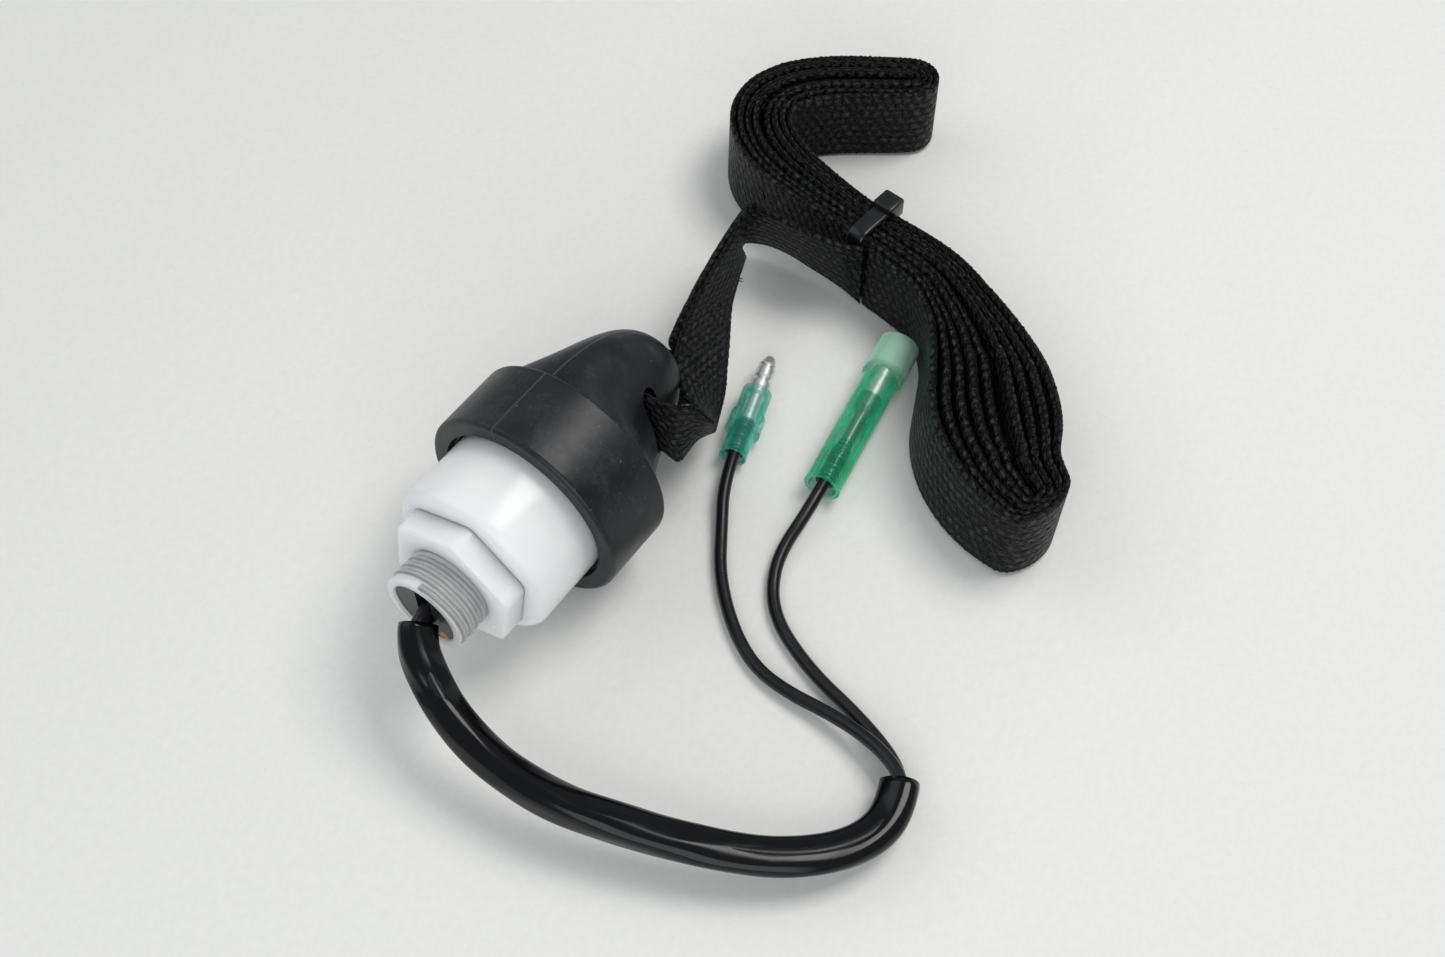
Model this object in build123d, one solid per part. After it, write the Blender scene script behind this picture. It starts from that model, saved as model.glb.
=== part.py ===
from build123d import *
import math
import os

# Engine kill switch with a pull-off rubber cap on a lanyard. Lengths are in millimetres.
# The switch lies on its side: +X runs along its axis from the threaded shank to the cap,
# +Z is up, and the cap's skirt rests on z = 0 with the strap and the cable beside it.
# Places along X are written from the cap's open rim, and MIDDLE shifts them to the origin.

# Switch body, one nylon moulding
SHANK_DIAMETER = 15.6
SHANK_LENGTH = 6.7
SHANK_BORE = 12.3
HEX_ACROSS_FLATS = 22.3
HEX_THICKNESS = 4.5
HEX_CORNER_RADIUS = 2.0
HEX_TURN = 6.2
DRUM_DIAMETER = 30.0
DRUM_LENGTH = 22.5
DRUM_SHOULDER = 2.0
DRUM_WALL = 2.6
CHAMBER_DIAMETER = 18.0
CHAMBER_DEPTH = 8.0
CHAMBER_FLOOR = 1.0
COVER_THICKNESS = 2.0
COVER_LEDGE = 1.2

# Rubber cap with its lug
CAP_DIAMETER = 38.0
CAP_SKIRT = 14.3
CAP_BORE_PLAY = 0.3
CAP_BORE_DEPTH = 12.5
CAP_MOUTH_DIAMETER = 31.8
CAP_MOUTH_DEPTH = 1.5
CAP_EDGE_RADIUS = 0.8
CAP_OVERLAP = 8.9
LUG_REACH = 25.2
LUG_HALF_HEIGHT = 17.4
LUG_TURN = 12.5
LUG_ANGLES = (0, 8, 16, 24, 34, 46, 58, 70, 79, 85)
LUG_HALF_THICKNESS = (17.4, 14.4, 11.4, 9.5, 8.1, 7.0, 5.9, 4.5, 3.0, 1.6)
SLOT_HEIGHT = 14.0
SLOT_WIDTH = 4.6
SLOT_PLACE = 11.7

# Plunger, spring and contacts inside the drum
PLUNGER_DIAMETER = 8.0
PLUNGER_TRAVEL = 3.0
PLUNGER_COLLAR = 13.0
PLUNGER_COLLAR_THICKNESS = 1.5
PLUNGER_TAIL = 3.6
SPRING_WIRE = 0.7
SPRING_COIL = 9.0
SPRING_TURNS = 3
BRIDGE_DIAMETER = 9.2
BRIDGE_THICKNESS = 0.8
CLIP_DIAMETER = 6.0
CLIP_THICKNESS = 0.6
TAIL_END = 0.8
CARRIER_THICKNESS = 2.5
CONTACT_THICKNESS = 0.6
CONTACT_WIDTH = 2.4
CONTACT_INNER = 2.6
LUG_TAB_GAP = 0.3
LUG_TAB_SETBACK = 1.6
RUNNING_FIT = 0.05
PLAY = 0.3

# Cable: end plug, two wires and their loose sleeve
PLUG_LENGTH = 8.0
PLUG_RECESS = 0.5
PLUG_GROOVE = 3.0
PLUG_GROOVE_DEPTH = 2.0
WIRE_DIAMETER = 2.3
WIRE_PITCH = 2.7
SLEEVE_DIAMETER = 6.6
SLEEVE_WALL = 0.4
SLEEVE_ROUTE = [
    (-26.7, -0.2, 18.5), (-29.2, -1.7, 17.6), (-31.6, -5.9, 15.6), (-34.2, -12.3, 13.0), (-35.6, -20.0, 11.2),
    (-35.7, -28.0, 10.0), (-34.6, -35.8, 9.2), (-32.1, -43.8, 8.4), (-29.2, -52.0, 7.6), (-25.8, -59.7, 6.8),
    (-21.4, -67.0, 6.0), (-15.8, -72.9, 5.2), (-9.6, -76.3, 4.7), (-3.8, -76.5, 4.6), (0.4, -74.8, 4.6)]
PIN_WIRE_ROUTE = [
    (3.0, -70.6, 4.8), (4.6, -64.6, 3.8), (5.1, -57.4, 2.6), (4.8, -50.6, 1.9), (5.5, -44.0, 1.5),
    (8.2, -38.2, 1.3), (12.6, -32.4, 1.3), (18.0, -27.2, 1.4), (24.6, -22.9, 1.8)]
SOCKET_WIRE_ROUTE = [
    (3.5, -72.0, 3.0), (6.1, -66.4, 2.5), (8.3, -60.0, 1.8), (9.9, -53.4, 1.4), (12.4, -46.6, 1.3),
    (15.4, -41.0, 1.3), (19.8, -36.8, 1.3), (26.6, -33.8, 1.8)]

# Bullet connectors: where the wire enters, and where the far end points
PIN_START = (37.8, -16.0)
PIN_AIM = (60.0, -9.0)
PIN_DIAMETER = 3.6
PIN_LENGTH = 24.0
PIN_FREE = 8.8
PIN_NECK = 2.9
PIN_COLLAR = 4.2
CRIMP_DIAMETER = 3.5
CRIMP_LENGTH = 8.5
CRIMP_START = 1.2
CRIMP_RIBS = 4
CRIMP_RIB_DEPTH = 0.25
WIRE_GRIP = 4.0
WIRE_LEAD_IN = 5.0
PIN_SLEEVE_DIAMETERS = (5.0, 6.6, 5.6)
PIN_SLEEVE_STEPS = (5.4, 9.4)
PIN_SLEEVE_BORE = 4.4
SOCKET_START = (41.2, -32.9)
SOCKET_AIM = (75.8, -27.3)
SOCKET_DIAMETER = 4.7
SOCKET_LENGTH = 9.4
SOCKET_NECK = 2.6
SOCKET_SLEEVE_DIAMETER = 6.8
SOCKET_SLEEVE_MOUTH = 7.9
SOCKET_SLEEVE_MOUTH_LENGTH = 9.0
SOCKET_SLEEVE_LENGTH = 35.4
SOCKET_SLEEVE_WALL = 0.8
SOCKET_INSET = 7.5

# Lanyard strap: the hank's spine on the floor, far end first, with how far apart its turns lie
STRAP_WIDTH = 16.0
STRAP_THICKNESS = 1.0
HANK_THICKNESS = 0.9
HANK_PITCH = 1.35
HANK_TURNS = 4
HANK_STEPS = 24
HANK_REACH = 0.6
HANK_SPINE = [
    (127.8, 2.8, 0.95), (124.0, 8.6, 1.0), (118.4, 16.8, 1.05), (111.8, 22.8, 1.1), (104.6, 24.0, 1.15),
    (97.4, 19.6, 1.15), (92.8, 9.8, 1.05), (90.6, 0.0, 0.9), (89.3, -8.0, 0.77), (88.7, -14.0, 0.77),
    (88.0, -20.0, 0.83), (86.4, -28.3, 0.9), (80.6, -37.6, 1.16), (72.3, -45.1, 1.65), (64.2, -51.3, 1.9),
    (57.8, -57.0, 1.7), (54.2, -62.2, 1.4), (52.8, -67.0, 1.2)]
TIE_STATION = 0.52
TIE_CLEAR = 0.05
TIE_WIDTH = 3.6
TIE_THICKNESS = 1.1
TIE_HEAD = (5.2, 5.0, 4.6)
# Lead: middle of the strap, the way its width points, and its share of the full width
LEAD = [
    ((82.6, -20.1, 8.0), (0.0, 0.0, 1.0), 1.0), ((82.2, -17.0, 8.3), (-0.03, 0.0, 1.0), 1.0),
    ((82.0, -13.6, 9.2), (-0.05, -0.02, 1.0), 1.0), ((81.6, -10.8, 10.2), (-0.08, -0.04, 1.0), 1.0),
    ((80.7, -7.2, 11.0), (-0.11, -0.06, 1.0), 1.0), ((80.2, -3.2, 11.5), (-0.12, -0.04, 1.0), 1.0),
    ((80.9, 0.6, 11.7), (-0.18, -0.02, 0.98), 1.0), ((81.8, 4.0, 12.0), (-0.23, -0.05, 0.97), 1.0),
    ((81.3, 6.9, 12.2), (-0.26, -0.1, 0.96), 1.0), ((79.0, 8.5, 12.3), (-0.24, -0.13, 0.96), 1.0),
    ((73.1, 7.6, 13.6), (-0.27, -0.1, 0.96), 1.0), ((67.0, 6.2, 14.4), (-0.39, -0.04, 0.92), 1.0),
    ((61.4, 4.6, 14.9), (-0.48, -0.04, 0.88), 1.0), ((56.5, 3.6, 15.3), (-0.5, 0.0, 0.87), 1.0),
    ((51.4, 3.9, 15.8), (-0.4, 0.05, 0.92), 1.0), ((46.4, 4.9, 16.4), (-0.25, 0.1, 0.97), 1.0),
    ((41.6, 6.4, 16.9), (-0.1, 0.16, 0.98), 1.0), ((37.0, 8.0, 17.1), (0.0, 0.21, 0.98), 1.0),
    ((32.6, 9.7, 17.0), (0.0, 0.216, 0.976), 1.0), ((28.9, 10.3, 16.8), (0.0, 0.216, 0.976), 0.98),
    ((26.5, 9.2, 17.0), (0.0, 0.216, 0.976), 0.88), ((26.0, 6.6, 17.5), (0.0, 0.216, 0.976), 0.78),
    ((26.0, 0.0, 19.0), (0.0, 0.216, 0.976), 0.76), ((26.0, -6.6, 20.5), (0.0, 0.216, 0.976), 0.78),
    ((26.3, -9.4, 20.6), (0.0, 0.216, 0.976), 0.9), ((28.2, -11.2, 19.2), (0.0, 0.1, 0.99), 1.0),
    ((31.4, -13.0, 17.4), (-0.1, -0.05, 0.99), 1.0), ((34.6, -14.6, 16.4), (-0.2, -0.13, 0.97), 1.0),
    ((37.2, -14.6, 15.9), (-0.3, -0.12, 0.95), 1.0), ((38.6, -12.4, 15.5), (-0.4, -0.05, 0.92), 1.0),
    ((40.8, -9.0, 15.2), (-0.52, 0.05, 0.85), 1.0), ((44.4, -6.1, 15.0), (-0.6, 0.06, 0.8), 1.0),
    ((48.4, -3.2, 15.0), (-0.62, 0.06, 0.78), 1.0), ((52.6, -0.3, 15.0), (-0.6, 0.04, 0.8), 1.0),
    ((57.0, 2.1, 15.1), (-0.53, 0.0, 0.85), 1.0), ((61.8, 3.4, 15.0), (-0.48, -0.04, 0.88), 1.0),
    ((67.3, 5.0, 14.5), (-0.39, -0.04, 0.92), 1.0), ((72.6, 6.3, 13.8), (-0.28, -0.1, 0.95), 1.0)]

# Places along the axis, from the cap's open rim at 0
AXIS_HEIGHT = CAP_DIAMETER / 2
DRUM_FRONT = CAP_OVERLAP
DRUM_BACK = DRUM_FRONT - DRUM_LENGTH
HEX_BACK = DRUM_BACK - HEX_THICKNESS
SHANK_END = HEX_BACK - SHANK_LENGTH
LUG_TIP = CAP_SKIRT + LUG_REACH * math.sin(math.radians(LUG_ANGLES[-1]))
MIDDLE = (SHANK_END + LUG_TIP) / 2
CAVITY = DRUM_DIAMETER - 2 * DRUM_WALL
COVER_DIAMETER = CAVITY + 2 * COVER_LEDGE
COVER_BACK = DRUM_FRONT - COVER_THICKNESS
CHAMBER_BACK = DRUM_BACK + CHAMBER_FLOOR
LEDGE = CHAMBER_BACK + CHAMBER_DEPTH
CARRIER_FRONT = LEDGE + CARRIER_THICKNESS
PLUNGER_TIP = CAP_BORE_DEPTH - PLAY
COLLAR_FRONT = COVER_BACK - PLUNGER_TRAVEL - RUNNING_FIT
COLLAR_BACK = COLLAR_FRONT - PLUNGER_COLLAR_THICKNESS
CONTACT_BACK = LEDGE - CONTACT_THICKNESS
BRIDGE_FRONT = CONTACT_BACK - PLUNGER_TRAVEL - RUNNING_FIT
BRIDGE_BACK = BRIDGE_FRONT - BRIDGE_THICKNESS
CLIP_BACK = BRIDGE_BACK - CLIP_THICKNESS
PLUNGER_END = CLIP_BACK - TAIL_END
TAB_FRONT = PLUNGER_END - LUG_TAB_SETBACK
WIRE_INNER_END = TAB_FRONT - CONTACT_THICKNESS
PLUG_FRONT = SHANK_END + PLUG_RECESS
CONTACT_OUTER = BRIDGE_DIAMETER / 2 + PLAY + CONTACT_THICKNESS


def along_x(x):
    """A sketch plane across the switch axis at x, its own x axis pointing to +Y and y to +Z."""
    return Plane(origin=(x - MIDDLE, 0, AXIS_HEIGHT), x_dir=(0, 1, 0), z_dir=(1, 0, 0))


def rod(x, length, diameter):
    """A round bar on the switch axis, from x towards the cap."""
    return extrude(along_x(x) * Circle(diameter / 2), amount=length)


def ring(x, length, outer, inner):
    return rod(x, length, outer) - rod(x, length, inner)


def block(x, length, low, high, width):
    """A bar of rectangular section, from low to high above the switch axis."""
    section = Pos(0, (low + high) / 2) * Rectangle(width, high - low)
    return extrude(along_x(x) * section, amount=length)


def switch_body():
    corners = RegularPolygon(HEX_ACROSS_FLATS / 2, 6, major_radius=False, rotation=HEX_TURN)
    hexagon = fillet(corners.vertices(), HEX_CORNER_RADIUS)
    flange = extrude(along_x(HEX_BACK) * hexagon, amount=HEX_THICKNESS)
    drum = rod(DRUM_BACK, DRUM_LENGTH, DRUM_DIAMETER)
    back_edge = drum.edges().filter_by(GeomType.CIRCLE).sort_by(Axis.X)[0]
    drum = fillet(back_edge, DRUM_SHOULDER)
    body = rod(SHANK_END, SHANK_LENGTH, SHANK_DIAMETER) + flange + drum
    body -= rod(SHANK_END, CHAMBER_BACK - SHANK_END, SHANK_BORE)
    body -= rod(CHAMBER_BACK, CHAMBER_DEPTH, CHAMBER_DIAMETER)
    body -= rod(LEDGE, DRUM_FRONT - LEDGE, CAVITY)
    return body - rod(COVER_BACK, COVER_THICKNESS, COVER_DIAMETER)


def front_cover():
    """Disc in the drum's front ledge, with the guide hole for the plunger."""
    return ring(COVER_BACK, COVER_THICKNESS, COVER_DIAMETER - 2 * RUNNING_FIT, PLUNGER_DIAMETER + 2 * RUNNING_FIT)


def plunger():
    stem = rod(COLLAR_FRONT, PLUNGER_TIP - COLLAR_FRONT, PLUNGER_DIAMETER)
    tip = stem.edges().filter_by(GeomType.CIRCLE).sort_by(Axis.X)[-1]
    stem = fillet(tip, PLUNGER_DIAMETER / 6)
    collar = rod(COLLAR_BACK, PLUNGER_COLLAR_THICKNESS, PLUNGER_COLLAR)
    return stem + collar + rod(PLUNGER_END, COLLAR_BACK - PLUNGER_END, PLUNGER_TAIL)


def plunger_spring():
    """Open coil between the contact carrier and the plunger's collar."""
    start = CARRIER_FRONT + SPRING_WIRE / 2 + RUNNING_FIT
    height = COLLAR_BACK - SPRING_WIRE / 2 - RUNNING_FIT - start
    coil = Helix(pitch=height / SPRING_TURNS, height=height, radius=SPRING_COIL / 2)
    section = Plane(origin=coil @ 0, z_dir=coil % 0) * Circle(SPRING_WIRE / 2)
    return along_x(start) * sweep(section, path=coil, is_frenet=True)


def bridge_contact():
    """Copper washer on the plunger's tail. It joins the two terminals when the plunger comes out."""
    return ring(BRIDGE_BACK, BRIDGE_THICKNESS, BRIDGE_DIAMETER, PLUNGER_TAIL + 2 * RUNNING_FIT)


def plunger_clip():
    return ring(CLIP_BACK, CLIP_THICKNESS, CLIP_DIAMETER, PLUNGER_TAIL + 2 * RUNNING_FIT)


def contact_carrier():
    """Insulating disc on the drum's inner ledge, which the plunger's tail passes through."""
    return ring(LEDGE, CARRIER_THICKNESS, CAVITY - 2 * RUNNING_FIT, PLUNGER_TAIL + 2 * PLAY)


def terminal():
    """Upper terminal: a strip bent round the bridge, with a contact pad and a solder tab."""
    pad = block(CONTACT_BACK, CONTACT_THICKNESS, CONTACT_INNER, CONTACT_OUTER, CONTACT_WIDTH)
    leg = block(WIRE_INNER_END, LEDGE - WIRE_INNER_END, CONTACT_OUTER - CONTACT_THICKNESS, CONTACT_OUTER,
                CONTACT_WIDTH)
    return pad + leg + block(WIRE_INNER_END, CONTACT_THICKNESS, LUG_TAB_GAP, CONTACT_OUTER, CONTACT_WIDTH)


def end_plug():
    """Rubber plug in the shank, slit for the two wires, with a groove across its outer face."""
    plug = rod(PLUG_FRONT, PLUG_LENGTH, SHANK_BORE - 2 * RUNNING_FIT)
    slit = SlotOverall(WIRE_PITCH + WIRE_DIAMETER + 2 * RUNNING_FIT, WIRE_DIAMETER + 2 * RUNNING_FIT, rotation=90)
    plug -= extrude(along_x(PLUG_FRONT) * slit, amount=PLUG_LENGTH)
    return plug - block(PLUG_FRONT, PLUG_GROOVE_DEPTH, -SHANK_BORE / 2, SHANK_BORE / 2, PLUG_GROOVE)


def lug():
    """The cap's grip: elliptical sections from the skirt to a flattened nose."""
    sections = []
    for angle, half_thickness in zip(LUG_ANGLES, LUG_HALF_THICKNESS):
        turn = math.radians(angle)
        x = CAP_SKIRT + LUG_REACH * math.sin(turn)
        oval = Ellipse(half_thickness, LUG_HALF_HEIGHT * math.cos(turn), rotation=-LUG_TURN)
        sections.append(along_x(x) * oval)
    return loft(sections)


def strap_slot():
    """Round-ended hole through the lug's flattened sides."""
    across = Vector(0, -math.cos(math.radians(LUG_TURN)), math.sin(math.radians(LUG_TURN)))
    centre = Vector(CAP_SKIRT + SLOT_PLACE - MIDDLE, 0, AXIS_HEIGHT)
    face = Plane(origin=centre, x_dir=(1, 0, 0), z_dir=across)
    return extrude(face * SlotOverall(SLOT_HEIGHT, SLOT_WIDTH, rotation=90), amount=CAP_DIAMETER / 2, both=True)


def pull_cap():
    skirt = rod(0, CAP_SKIRT, CAP_DIAMETER)
    skirt = fillet(skirt.edges().filter_by(GeomType.CIRCLE), CAP_EDGE_RADIUS)
    cap = skirt + lug() - strap_slot()
    cap -= rod(0, CAP_BORE_DEPTH, DRUM_DIAMETER + 2 * CAP_BORE_PLAY)
    return cap - rod(0, CAP_MOUTH_DEPTH, CAP_MOUTH_DIAMETER)


def shifted(point, up=0.0):
    return Vector(point[0] - MIDDLE, point[1], point[2] + up)


def corner_radii(points):
    """One arc radius for each inner point, as large as its two runs allow."""
    radii = []
    for before, here, after in zip(points, points[1:], points[2:]):
        first, second = here - before, after - here
        half_turn = math.radians(first.get_angle(second)) / 2
        radii.append(0.45 * min(first.length, second.length) / math.tan(half_turn))
    return radii


def route(name, points):
    radii = corner_radii(points)
    print(name, "radii", [round(radius) for radius in radii])
    return FilletPolyline(*points, radius=radii)


def tube(path, diameter):
    section = Plane(origin=path @ 0, z_dir=path % 0) * Circle(diameter / 2)
    return sweep(section, path=path)


def sleeve_points(up=0.0):
    return [shifted(point, up) for point in SLEEVE_ROUTE]


def cable_sleeve():
    path = route("sleeve", sleeve_points())
    return tube(path, SLEEVE_DIAMETER) - tube(path, SLEEVE_DIAMETER - 2 * SLEEVE_WALL)


def wire(name, side, free_route, plane):
    """One wire from its solder tab, through the plug and the sleeve, to its connector's crimp."""
    height = AXIS_HEIGHT + side * WIRE_PITCH / 2
    points = [Vector(WIRE_INNER_END - MIDDLE, 0, height), Vector(SHANK_END - PLAY - MIDDLE, 0, height)]
    points += sleeve_points(side * WIRE_PITCH / 2)[1:]
    points += [shifted(point) for point in free_route]
    points += [(plane * Pos(0, 0, place)).position for place in (-WIRE_LEAD_IN, CRIMP_START + WIRE_GRIP)]
    path = route(name, points)
    solid = tube(path, WIRE_DIAMETER)
    print(name, "length", round(path.length), "volume", round(solid.volume), "of",
          round(path.length * math.pi * WIRE_DIAMETER ** 2 / 4))
    return solid


def connector_plane(start, aim, height):
    """A frame with its z axis along a connector that lies on the floor."""
    return Plane(origin=(start[0] - MIDDLE, start[1], height), z_dir=(aim[0] - start[0], aim[1] - start[1], 0))


def turned(plane, profile):
    """Solid of revolution from pairs of distance along the axis and radius."""
    outline = [(0, profile[0][0])] + [(radius, z) for z, radius in profile] + [(0, profile[-1][0])]
    face = make_face(Plane.XZ * Polyline(*outline, close=True))
    return plane * revolve(face, Axis.Z)


def bar(plane, start, length, diameter):
    return plane * Pos(0, 0, start) * Cylinder(diameter / 2, length, align=(Align.CENTER, Align.CENTER, Align.MIN))


def crimp_profile():
    """The crimped barrel, with a shallow waist between each two of its ribs."""
    rib = CRIMP_LENGTH / CRIMP_RIBS
    profile = []
    for index in range(CRIMP_RIBS):
        start = CRIMP_START + index * rib
        profile += [(start, CRIMP_DIAMETER / 2), (start + 0.6 * rib, CRIMP_DIAMETER / 2)]
        profile += [(start + 0.7 * rib, CRIMP_DIAMETER / 2 - CRIMP_RIB_DEPTH),
                    (start + 0.9 * rib, CRIMP_DIAMETER / 2 - CRIMP_RIB_DEPTH)]
    return profile


def pin_plane():
    return connector_plane(PIN_START, PIN_AIM, PIN_SLEEVE_DIAMETERS[1] / 2)


def pin_terminal():
    """Bullet pin: crimp barrel, neck, collar, and a bullet with a grooved, rounded head."""
    neck, collar, body = PIN_NECK / 2, PIN_COLLAR / 2, PIN_DIAMETER / 2
    free = PIN_LENGTH - PIN_FREE
    profile = crimp_profile()
    profile += [(free - 3.5, neck), (free - 1.2, neck), (free - 0.6, collar), (free + 1.8, collar)]
    profile += [(free + 2.2, neck), (free + 3.0, neck), (free + 3.5, body), (free + 5.2, body)]
    profile += [(free + 5.5, body - 0.3), (free + 6.0, body - 0.3), (free + 6.3, body - 0.1)]
    profile += [(PIN_LENGTH - 0.7, 0.6 * body), (PIN_LENGTH, 0.3 * body)]
    hole = bar(pin_plane(), CRIMP_START, WIRE_GRIP, WIRE_DIAMETER + 2 * RUNNING_FIT)
    return turned(pin_plane(), profile) - hole


def pin_sleeve():
    """Insulator over the pin's crimp, with a thicker middle band."""
    back, band, front = [diameter / 2 for diameter in PIN_SLEEVE_DIAMETERS]
    low, high = PIN_SLEEVE_STEPS
    end = PIN_LENGTH - PIN_FREE
    profile = [(0, back), (low, back), (low + 0.4, band), (high, band), (high + 0.4, front), (end, front)]
    return turned(pin_plane(), profile) - bar(pin_plane(), 0, end, PIN_SLEEVE_BORE)


def socket_plane():
    return connector_plane(SOCKET_START, SOCKET_AIM, SOCKET_SLEEVE_MOUTH / 2)


def socket_terminal():
    """Receptacle: crimp barrel, long neck, and the barrel that the bullet snaps into."""
    mouth = SOCKET_SLEEVE_LENGTH - SOCKET_INSET
    neck, body = SOCKET_NECK / 2, SOCKET_DIAMETER / 2
    profile = crimp_profile()
    profile += [(CRIMP_START + CRIMP_LENGTH + 1, neck), (mouth - SOCKET_LENGTH - 1.5, neck)]
    profile += [(mouth - SOCKET_LENGTH, body), (mouth, body)]
    hole = bar(socket_plane(), CRIMP_START, WIRE_GRIP, WIRE_DIAMETER + 2 * RUNNING_FIT)
    bore = bar(socket_plane(), mouth - SOCKET_LENGTH + 1, SOCKET_LENGTH - 1, PIN_DIAMETER + 2 * RUNNING_FIT)
    return turned(socket_plane(), profile) - hole - bore


def socket_sleeve():
    """Long insulator, with a wider mouth that takes the other half's band."""
    tail, mouth = SOCKET_SLEEVE_DIAMETER / 2, SOCKET_SLEEVE_MOUTH / 2
    step = SOCKET_SLEEVE_LENGTH - SOCKET_SLEEVE_MOUTH_LENGTH
    profile = [(0, tail), (step, tail), (step + 0.6, mouth), (SOCKET_SLEEVE_LENGTH, mouth)]
    bore = bar(socket_plane(), 0, SOCKET_SLEEVE_LENGTH, SOCKET_SLEEVE_DIAMETER - 2 * SOCKET_SLEEVE_WALL)
    return turned(socket_plane(), profile) - bore


def strap_section(centre, width_way, share, ahead):
    across = Vector(*width_way).normalized()
    plane = Plane(origin=shifted(centre), x_dir=across, z_dir=ahead - across * across.dot(ahead))
    return plane * Rectangle(share * STRAP_WIDTH, STRAP_THICKNESS)


def lanyard_lead():
    """The strap from the hank to the cap, through the lug's slot, and back to where it is sewn."""
    centres = [Vector(*centre) for centre, _, _ in LEAD]
    sections = []
    for index, (centre, width_way, share) in enumerate(LEAD):
        ahead = centres[min(index + 1, len(LEAD) - 1)] - centres[max(index - 1, 0)]
        sections.append(strap_section(centre, width_way, share, ahead))
    return loft(sections, ruled=True)


def hank_point(spine, station, turn):
    """A point beside the spine, that many turns out towards its outer side."""
    place, way = spine @ station, spine % station
    side = Vector(way.Y, -way.X, 0).normalized()
    return Vector(place.X, place.Y, 0) + side * (turn * HANK_PITCH * place.Z)


def hank_end(spine, station, start, end, reach):
    """A fold round the end of the spine, from one turn to another, without its two end points."""
    first, last = hank_point(spine, station, start), hank_point(spine, station, end)
    middle, arm = (first + last) / 2, (first - last) / 2
    out = Vector(arm.Y, -arm.X, 0) * reach
    angles = [math.radians(30 * step) for step in range(1, 6)]
    return [middle + arm * math.cos(angle) + out * math.sin(angle) for angle in angles]


def hank_line():
    """Middle line of the folded strap on the floor, from the hank's core outwards."""
    spine = Spline(*HANK_SPINE)
    stations = [index / HANK_STEPS for index in range(HANK_STEPS + 1)]
    line = []
    for turn in range(HANK_TURNS):
        line += [hank_point(spine, station, turn + 0.5) for station in reversed(stations)]
        line += hank_end(spine, 0, turn + 0.5, -turn - 1, 1)
        line += [hank_point(spine, station, -turn - 1) for station in stations]
        line += hank_end(spine, 1, -turn - 1, turn + 1.5, HANK_REACH)
    outer = [station for station in reversed(stations) if station > TIE_STATION + TIE_CLEAR]
    return line + [hank_point(spine, station, HANK_TURNS + 0.5) for station in outer]


def hank_outline(line):
    """Both faces of the strap along its middle line, as one closed loop."""
    near, far = [], []
    for index, point in enumerate(line):
        way = line[min(index + 1, len(line) - 1)] - line[max(index - 1, 0)]
        side = Vector(way.Y, -way.X, 0).normalized() * (HANK_THICKNESS / 2)
        near.append(point + side)
        far.append(point - side)
    return near + far[::-1]


def tie_plane():
    """A frame across the hank where the tie grips it: x across the turns, y up."""
    spine = Spline(*HANK_SPINE)
    place, way = spine @ TIE_STATION, spine % TIE_STATION
    back = Vector(-way.X, -way.Y, 0)
    return Plane(origin=(place.X - MIDDLE, place.Y, 0), x_dir=(way.Y, -way.X, 0), z_dir=back), place.Z * HANK_PITCH


def tie_band():
    """The tie's loop round the hank's inner turns."""
    plane, pitch = tie_plane()
    outer, inner = (HANK_TURNS - 0.5) * pitch + HANK_THICKNESS / 2, HANK_TURNS * pitch + HANK_THICKNESS / 2
    low, high = TIE_THICKNESS, STRAP_WIDTH
    width, height = outer + inner + 2 * PLAY, high - low + 2 * PLAY
    middle = Pos((outer - inner) / 2, (low + high) / 2 + PLAY)
    loop = RectangleRounded(width + 2 * TIE_THICKNESS, height + 2 * TIE_THICKNESS, TIE_THICKNESS)
    loop -= Rectangle(width, height)
    return extrude(plane * middle * loop, amount=TIE_WIDTH / 2, both=True)


def lanyard_hank():
    outline = Polyline(*[point - Vector(MIDDLE, 0, 0) for point in hank_outline(hank_line())], close=True)
    hank = extrude(make_face(outline), amount=STRAP_WIDTH)
    plane, _ = tie_plane()
    groove = plane * Rectangle(CAP_DIAMETER, 2 * (TIE_THICKNESS + 2 * PLAY))
    return hank - extrude(groove, amount=TIE_WIDTH / 2 + PLAY, both=True)


def cable_tie():
    plane, pitch = tie_plane()
    reach = HANK_TURNS * pitch + HANK_THICKNESS / 2 + PLAY
    head = Pos(-reach - TIE_THICKNESS / 2, STRAP_WIDTH, 0) * Box(*TIE_HEAD)
    inside = Pos(0, STRAP_WIDTH / 2, 0) * Box(2 * reach, STRAP_WIDTH + 2 * PLAY, 2 * TIE_WIDTH)
    return tie_band() + plane * (head - inside)


NODES = {
    "switch_body": switch_body, "front_cover": front_cover, "plunger": plunger,
    "plunger_spring": plunger_spring, "bridge_contact": bridge_contact, "plunger_clip": plunger_clip,
    "contact_carrier": contact_carrier, "terminal_upper": terminal, "end_plug": end_plug,
    "pull_cap": pull_cap, "cable_sleeve": cable_sleeve, "pin_terminal": pin_terminal,
    "pin_sleeve": pin_sleeve, "socket_terminal": socket_terminal, "socket_sleeve": socket_sleeve,
    "lanyard_lead": lanyard_lead, "lanyard_hank": lanyard_hank, "cable_tie": cable_tie}


def main():
    os.makedirs("parts", exist_ok=True)
    for name, make in NODES.items():
        export_step(make(), "parts/" + name + ".step")
    mirror_plane = Plane(origin=(0, 0, AXIS_HEIGHT), z_dir=(0, 0, 1))
    export_step(mirror(terminal(), about=mirror_plane), "parts/terminal_lower.step")
    export_step(wire("pin wire", 1, PIN_WIRE_ROUTE, pin_plane()), "parts/wire_to_pin.step")
    export_step(wire("socket wire", -1, SOCKET_WIRE_ROUTE, socket_plane()), "parts/wire_to_socket.step")


main()
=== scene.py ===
import math
import bmesh
import bpy
from mathutils import Matrix, Vector


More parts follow.
